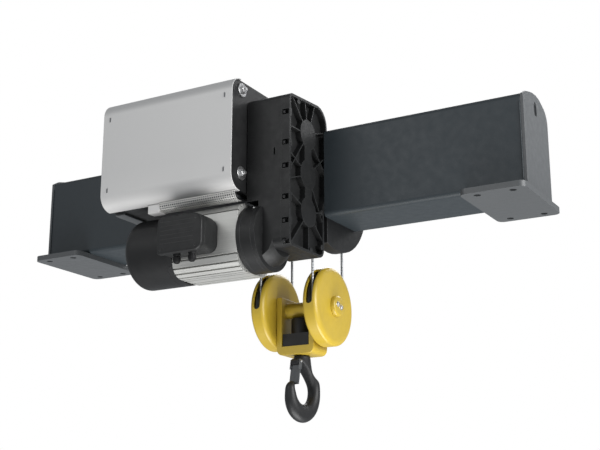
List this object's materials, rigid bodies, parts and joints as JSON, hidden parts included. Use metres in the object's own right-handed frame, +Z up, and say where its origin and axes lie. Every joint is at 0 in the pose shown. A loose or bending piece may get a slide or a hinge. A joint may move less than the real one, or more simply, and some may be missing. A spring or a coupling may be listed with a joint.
{
  "type": "wire rope hoist",
  "caption": "Foot-mounted electric wire rope hoist: box beam on two feet, side gearbox, finned brake motor, control panel and a yellow two-sheave hook block.",
  "frame": {"origin": "middle of the plane that the two feet stand on, at the beam's half length and half depth", "axes": "+X along the beam, -Y towards the gearbox, motor and panel side, +Z up"},
  "size_m": [2.02, 0.71, 1.1434],
  "materials": {
    "beam_paint": "satin dark slate paint",
    "grey_paint": "satin mid grey paint",
    "black_cast": "black painted casting",
    "black_cover": "matte black cover",
    "gland_plastic": "black moulded nylon",
    "motor_aluminium": "extruded, satin",
    "guard_aluminium": "perforated sheet",
    "panel_silver": "fine silver powder coat",
    "bright_steel": "zinc plated",
    "drum_steel": "machined, oiled",
    "wire_rope": "greased stranded wire",
    "latch_steel": "dark pressed sheet",
    "hook_yellow": "satin yellow paint",
    "forged_black": "black painted forging"
  },
  "bodies": {
    "frame": {"left_beam": "beam_paint", "right_beam": "beam_paint", "left_end_plate": "grey_paint", "right_end_plate": "grey_paint", "left_foot": "grey_paint", "right_foot": "grey_paint", "gear_case": "black_cast", "gearbox_housing": "black_cast", "gearbox_cover": "black_cast", "motor_body": "motor_aluminium", "brake_cover": "black_cover", "motor_flange": "black_cast", "terminal_box": "black_cover", "terminal_box_lid": "black_cover", "cable_gland_1": "gland_plastic", "cable_gland_2": "gland_plastic", "panel_cover": "panel_silver", "panel_case": "black_cover", "panel_bolt_1": "bright_steel", "panel_bolt_2": "bright_steel", "panel_arm_left": "grey_paint", "panel_arm_right": "grey_paint", "resistor_guard": "guard_aluminium", "resistor_box": "panel_silver", "brake_resistor": "guard_aluminium", "drum_bearing_plate": "grey_paint", "left_front_fall": "wire_rope", "left_rear_fall": "wire_rope", "right_front_fall": "wire_rope", "right_rear_fall": "wire_rope", "left_rope_anchor": "bright_steel", "right_rope_anchor": "bright_steel", "cover_bolt_1": "bright_steel", "cover_bolt_2": "bright_steel", "cover_bolt_3": "bright_steel", "cover_bolt_4": "bright_steel", "cover_bolt_5": "bright_steel", "cover_bolt_6": "bright_steel", "panel_screw_1": "bright_steel", "panel_screw_2": "bright_steel", "panel_screw_3": "bright_steel", "panel_screw_4": "bright_steel"},
    "drum": {"rope_drum": "drum_steel", "rope_winding_left": "wire_rope", "rope_winding_right": "wire_rope"},
    "hook_block": {"left_sheave_housing": "hook_yellow", "right_sheave_housing": "hook_yellow", "left_axle_cap": "hook_yellow", "right_axle_cap": "hook_yellow", "hook_carrier": "hook_yellow", "bearing_block": "forged_black", "sheave_axle": "bright_steel", "left_rope_wrap": "wire_rope", "right_rope_wrap": "wire_rope"},
    "left_sheave_wheel": {"left_sheave": "drum_steel"},
    "right_sheave_wheel": {"right_sheave": "drum_steel"},
    "hook_swivel": {"hook": "forged_black", "hook_nut": "forged_black", "latch_pin": "bright_steel"},
    "latch": {"safety_latch": "latch_steel"}
  },
  "joints": [
    {"name": "hook_lift", "type": "slide", "parent": "frame", "child": "hook_block", "axis": [0, 0, -1], "range_m": [0, 6], "deforming": ["left_front_fall", "right_front_fall", "left_rear_fall", "right_rear_fall"]},
    {"name": "drum_spin", "type": "hinge", "parent": "frame", "child": "drum", "pos_m": [-0.28, 0, 0.18], "axis": [1, 0, 0], "range_deg": [0, 6252]},
    {"name": "left_sheave_spin", "type": "hinge", "parent": "hook_block", "child": "left_sheave_wheel", "pos_m": [-0.003, 0, -0.275], "axis": [1, 0, 0], "range_deg": [0, 3126]},
    {"name": "right_sheave_spin", "type": "hinge", "parent": "hook_block", "child": "right_sheave_wheel", "pos_m": [0.207, 0, -0.275], "axis": [1, 0, 0], "range_deg": [0, 3126]},
    {"name": "hook_swivel_turn", "type": "hinge", "parent": "hook_block", "child": "hook_swivel", "pos_m": [0.102, 0, -0.35], "axis": [0, 0, 1], "continuous": true},
    {"name": "latch_open", "type": "hinge", "parent": "hook_swivel", "child": "latch", "pos_m": [0.09715, -0.03062, -0.464], "axis": [0.9877, -0.1564, 0], "range_deg": [0, 38], "stiffness_Nm_per_rad": 0.6, "springref_deg": -17.19}
  ],
  "couplings": [
    {"joint": "drum_spin", "follows": "hook_lift", "rad_per_m": 18.182},
    {"joint": "left_sheave_spin", "follows": "hook_lift", "rad_per_m": 9.0909},
    {"joint": "right_sheave_spin", "follows": "hook_lift", "rad_per_m": 9.0909}
  ]
}
